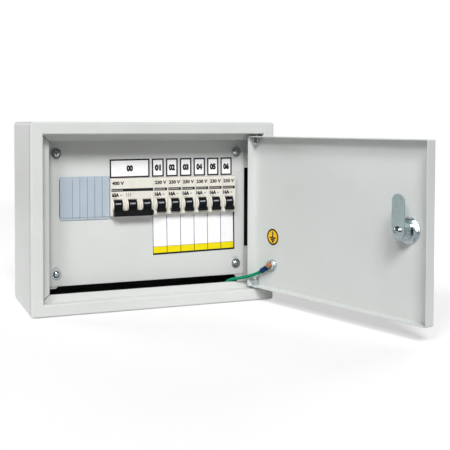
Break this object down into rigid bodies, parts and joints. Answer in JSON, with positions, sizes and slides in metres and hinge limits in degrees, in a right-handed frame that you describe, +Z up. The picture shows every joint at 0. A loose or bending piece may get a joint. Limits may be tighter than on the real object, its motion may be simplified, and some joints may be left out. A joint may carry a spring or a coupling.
{
  "type": "breaker panel box",
  "caption": "Wall-mounted sheet-steel breaker panel box with a hinged locking door, a false panel over rail-mounted breakers with switch levers, and an earth-bonded door.",
  "frame": {"origin": "centre of the back face, the middle of the wall-hole pattern", "axes": "+X to the right seen from the front, +Y into the wall, +Z up; the door hinges on the right"},
  "size_m": [0.3552, 0.3689, 0.22],
  "materials": {
    "body_paint": "satin powder coat on folded sheet steel",
    "panel_paint": "satin powder coat",
    "door_paint": "satin powder coat",
    "zinc_steel": "zinc plated",
    "lock_nickel": "satin nickel plate",
    "ivory_plastic": "moulded thermoset",
    "black_plastic": "moulded thermoplastic",
    "clip_plastic": "moulded thermoplastic",
    "blank_plastic": "moulded thermoplastic",
    "copper": "bare copper",
    "busbar_plastic": "extruded insulation",
    "brass_bar": "bright brass",
    "blue_plastic": "moulded insulator",
    "green_plastic": "moulded support",
    "sleeve_plastic": "crimp sleeve",
    "wire_sheath": "soft wire sheath"
  },
  "bodies": {
    "box": {"enclosure_body": "body_paint", "front_frame": "body_paint", "panel_brackets": "panel_paint", "false_panel": "panel_paint", "pan_screws": "zinc_steel", "panel_washers": "zinc_steel", "blanking_strip": "blank_plastic", "din_rail": "zinc_steel", "rail_brackets": "zinc_steel", "main_case": "ivory_plastic", "branch_case_1": "ivory_plastic", "branch_case_2": "ivory_plastic", "branch_case_3": "ivory_plastic", "branch_case_4": "ivory_plastic", "branch_case_5": "ivory_plastic", "branch_case_6": "ivory_plastic", "terminal_screws": "zinc_steel", "busbar_combs": "copper", "busbar_insulation": "busbar_plastic", "neutral_bar": "brass_bar", "neutral_supports": "blue_plastic", "earth_bar": "brass_bar", "earth_supports": "green_plastic", "bar_screws": "zinc_steel", "body_stud": "copper", "body_stud_washers": "zinc_steel", "body_stud_nut": "zinc_steel", "body_lug": "zinc_steel", "body_lug_sleeve": "sleeve_plastic", "earth_wire": "wire_sheath"},
    "door": {"door_panel": "door_paint", "hinge_pins": "zinc_steel", "door_stud": "copper", "door_stud_washers": "zinc_steel", "door_stud_nut": "zinc_steel", "door_lug": "zinc_steel", "door_lug_sleeve": "sleeve_plastic", "lock_barrel": "lock_nickel", "lock_washer": "zinc_steel", "lock_nut": "lock_nickel"},
    "lock_rotor": {"lock_core": "lock_nickel", "lock_cam": "zinc_steel", "cam_screw": "zinc_steel"},
    "main_handle": {"main_levers": "black_plastic", "main_tie_bar": "black_plastic"},
    "branch_handle_1": {"branch_lever_1": "black_plastic"},
    "branch_handle_2": {"branch_lever_2": "black_plastic"},
    "branch_handle_3": {"branch_lever_3": "black_plastic"},
    "branch_handle_4": {"branch_lever_4": "black_plastic"},
    "branch_handle_5": {"branch_lever_5": "black_plastic"},
    "branch_handle_6": {"branch_lever_6": "black_plastic"},
    "main_clip_1": {"main_clip_1": "clip_plastic"},
    "main_clip_2": {"main_clip_2": "clip_plastic"},
    "main_clip_3": {"main_clip_3": "clip_plastic"},
    "branch_clip_1": {"branch_clip_1": "clip_plastic"},
    "branch_clip_2": {"branch_clip_2": "clip_plastic"},
    "branch_clip_3": {"branch_clip_3": "clip_plastic"},
    "branch_clip_4": {"branch_clip_4": "clip_plastic"},
    "branch_clip_5": {"branch_clip_5": "clip_plastic"},
    "branch_clip_6": {"branch_clip_6": "clip_plastic"}
  },
  "joints": [
    {"name": "door_hinge", "type": "hinge", "parent": "box", "child": "door", "pos_m": [0.128, -0.1145, 0], "axis": [0, 0, 1], "range_deg": [-106, 4], "deforming": ["earth_wire"]},
    {"name": "lock_turn", "type": "hinge", "parent": "door", "child": "lock_rotor", "pos_m": [0.17979, -0.34048, 0], "axis": [0.9613, 0.2756, 0], "range_deg": [0, 90]},
    {"name": "main_switch", "type": "hinge", "parent": "box", "child": "main_handle", "pos_m": [-0.0237, -0.0855, 0.01], "axis": [-1, 0, 0], "range_deg": [0, 84]},
    {"name": "branch_switch_1", "type": "hinge", "parent": "box", "child": "branch_handle_1", "pos_m": [0.0123, -0.0855, 0.01], "axis": [-1, 0, 0], "range_deg": [0, 84]},
    {"name": "branch_switch_2", "type": "hinge", "parent": "box", "child": "branch_handle_2", "pos_m": [0.0303, -0.0855, 0.01], "axis": [-1, 0, 0], "range_deg": [0, 84]},
    {"name": "branch_switch_3", "type": "hinge", "parent": "box", "child": "branch_handle_3", "pos_m": [0.0483, -0.0855, 0.01], "axis": [-1, 0, 0], "range_deg": [0, 84]},
    {"name": "branch_switch_4", "type": "hinge", "parent": "box", "child": "branch_handle_4", "pos_m": [0.0663, -0.0855, 0.01], "axis": [-1, 0, 0], "range_deg": [0, 84]},
    {"name": "branch_switch_5", "type": "hinge", "parent": "box", "child": "branch_handle_5", "pos_m": [0.0843, -0.0855, 0.01], "axis": [-1, 0, 0], "range_deg": [0, 84]},
    {"name": "branch_switch_6", "type": "hinge", "parent": "box", "child": "branch_handle_6", "pos_m": [0.1023, -0.0855, 0.01], "axis": [-1, 0, 0], "range_deg": [0, 84]},
    {"name": "main_release_1", "type": "slide", "parent": "box", "child": "main_clip_1", "axis": [0, 0, 1], "range_m": [-0.003, 0], "stiffness_N_per_m": 2000},
    {"name": "main_release_2", "type": "slide", "parent": "box", "child": "main_clip_2", "axis": [0, 0, 1], "range_m": [-0.003, 0], "stiffness_N_per_m": 2000},
    {"name": "main_release_3", "type": "slide", "parent": "box", "child": "main_clip_3", "axis": [0, 0, 1], "range_m": [-0.003, 0], "stiffness_N_per_m": 2000},
    {"name": "branch_release_1", "type": "slide", "parent": "box", "child": "branch_clip_1", "axis": [0, 0, 1], "range_m": [-0.003, 0], "stiffness_N_per_m": 2000},
    {"name": "branch_release_2", "type": "slide", "parent": "box", "child": "branch_clip_2", "axis": [0, 0, 1], "range_m": [-0.003, 0], "stiffness_N_per_m": 2000},
    {"name": "branch_release_3", "type": "slide", "parent": "box", "child": "branch_clip_3", "axis": [0, 0, 1], "range_m": [-0.003, 0], "stiffness_N_per_m": 2000},
    {"name": "branch_release_4", "type": "slide", "parent": "box", "child": "branch_clip_4", "axis": [0, 0, 1], "range_m": [-0.003, 0], "stiffness_N_per_m": 2000},
    {"name": "branch_release_5", "type": "slide", "parent": "box", "child": "branch_clip_5", "axis": [0, 0, 1], "range_m": [-0.003, 0], "stiffness_N_per_m": 2000},
    {"name": "branch_release_6", "type": "slide", "parent": "box", "child": "branch_clip_6", "axis": [0, 0, 1], "range_m": [-0.003, 0], "stiffness_N_per_m": 2000}
  ]
}
